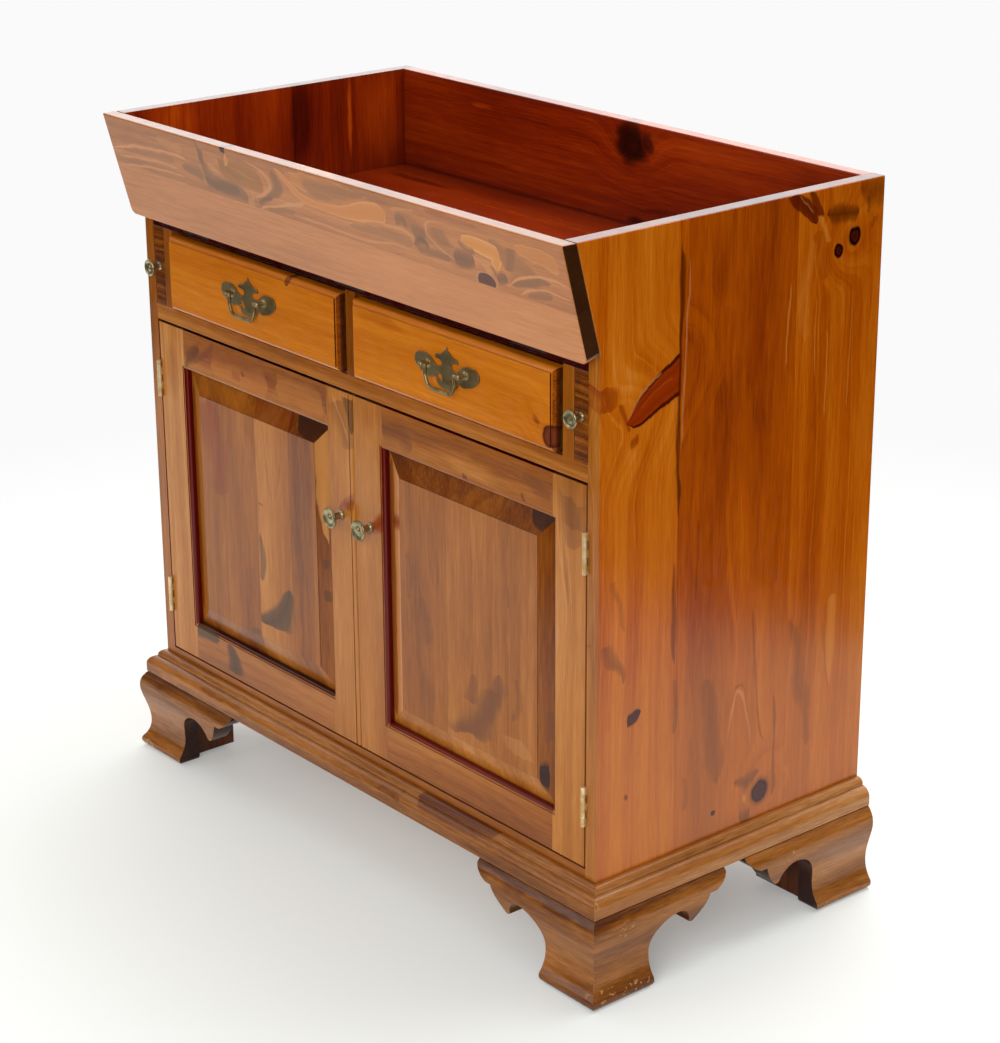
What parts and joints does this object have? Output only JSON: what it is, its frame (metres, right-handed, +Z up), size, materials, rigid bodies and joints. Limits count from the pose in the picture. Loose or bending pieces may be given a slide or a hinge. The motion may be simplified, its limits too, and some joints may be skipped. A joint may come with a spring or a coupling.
{
  "type": "dry sink cabinet",
  "caption": "Pine dry sink: open well with a sloping fold-down front and pull-out supports, over drawers and a cupboard with raised-panel doors, on ogee bracket feet.",
  "frame": {"origin": "on the floor, in the middle of the overall length and depth", "axes": "+X along the front to the viewer's right, -Y to the front, +Z up"},
  "size_m": [0.963, 0.4947, 0.914],
  "materials": {
    "stained_pine_case": "satin",
    "stained_pine_doors": "satin",
    "stained_pine_drawers": "satin",
    "stained_pine_fall": "satin",
    "stained_pine_base": "satin",
    "plain_pine": "matte",
    "brass": "polished",
    "antique_brass": "aged",
    "steel": "satin",
    "brown_plastic": "matte",
    "nylon": "matte"
  },
  "bodies": {
    "case": {"base_rails": "plain_pine", "bottom_board": "stained_pine_case", "centre_divider": "plain_pine", "door_catches": "brown_plastic", "door_hinge_case_leaves": "brass", "door_hinge_pins": "brass", "drawer_glides": "nylon", "drawer_guides": "plain_pine", "drawer_runners": "plain_pine", "drawer_stops": "plain_pine", "fall_catches": "brass", "fall_hinge_case_leaves": "brass", "fall_hinge_pins": "brass", "foot_blocks": "plain_pine", "foot_front_left": "stained_pine_base", "foot_front_right": "stained_pine_base", "foot_rear_left": "stained_pine_base", "foot_rear_right": "stained_pine_base", "loper_dividers": "plain_pine", "lower_back_panel": "plain_pine", "moulding_front": "stained_pine_base", "mouldings_side": "stained_pine_base", "rail_back": "plain_pine", "rail_front": "stained_pine_case", "shelf": "plain_pine", "shelf_cleats": "plain_pine", "side_left": "stained_pine_case", "side_right": "stained_pine_case", "well_back": "stained_pine_case", "well_floor": "stained_pine_case"},
    "fall": {"fall_board": "stained_pine_fall", "fall_hinge_leaves": "brass"},
    "loper_left": {"loper_left": "stained_pine_case", "loper_knob_left": "brass"},
    "drawer_left": {"drawer_left_front": "stained_pine_drawers", "drawer_left_sides": "plain_pine", "drawer_left_back": "plain_pine", "drawer_left_bottom": "plain_pine", "drawer_left_pull": "antique_brass"},
    "bail_left": {"drawer_left_bail": "antique_brass"},
    "door_left": {"door_left_stiles": "stained_pine_doors", "door_left_rails": "stained_pine_doors", "door_left_panel": "stained_pine_doors", "door_left_knob": "brass", "door_left_hinge_leaves": "brass", "door_left_strike": "steel"},
    "loper_right": {"loper_right": "stained_pine_case", "loper_knob_right": "brass"},
    "drawer_right": {"drawer_right_front": "stained_pine_drawers", "drawer_right_sides": "plain_pine", "drawer_right_back": "plain_pine", "drawer_right_bottom": "plain_pine", "drawer_right_pull": "antique_brass"},
    "bail_right": {"drawer_right_bail": "antique_brass"},
    "door_right": {"door_right_stiles": "stained_pine_doors", "door_right_rails": "stained_pine_doors", "door_right_panel": "stained_pine_doors", "door_right_knob": "brass", "door_right_hinge_leaves": "brass", "door_right_strike": "steel"}
  },
  "joints": [
    {"name": "fall_hinge", "type": "hinge", "parent": "case", "child": "fall", "pos_m": [0, -0.19204, 0.7802], "axis": [1, 0, 0], "range_deg": [0, 75]},
    {"name": "loper_left_slide", "type": "slide", "parent": "case", "child": "loper_left", "axis": [0, -1, 0], "range_m": [0, 0.18]},
    {"name": "drawer_left_slide", "type": "slide", "parent": "case", "child": "drawer_left", "axis": [0, -1, 0], "range_m": [0, 0.3]},
    {"name": "bail_left_swing", "type": "hinge", "parent": "drawer_left", "child": "bail_left", "pos_m": [-0.199, -0.21374, 0.71275], "axis": [-1, 0, 0], "range_deg": [-10, 88]},
    {"name": "door_left_hinge", "type": "hinge", "parent": "case", "child": "door_left", "pos_m": [-0.42975, -0.19444, 0.16], "axis": [0, 0, -1], "range_deg": [0, 120]},
    {"name": "loper_right_slide", "type": "slide", "parent": "case", "child": "loper_right", "axis": [0, -1, 0], "range_m": [0, 0.18]},
    {"name": "drawer_right_slide", "type": "slide", "parent": "case", "child": "drawer_right", "axis": [0, -1, 0], "range_m": [0, 0.3]},
    {"name": "bail_right_swing", "type": "hinge", "parent": "drawer_right", "child": "bail_right", "pos_m": [0.199, -0.21374, 0.71275], "axis": [-1, 0, 0], "range_deg": [-10, 88]},
    {"name": "door_right_hinge", "type": "hinge", "parent": "case", "child": "door_right", "pos_m": [0.42975, -0.19444, 0.16], "axis": [0, 0, 1], "range_deg": [0, 120]}
  ]
}
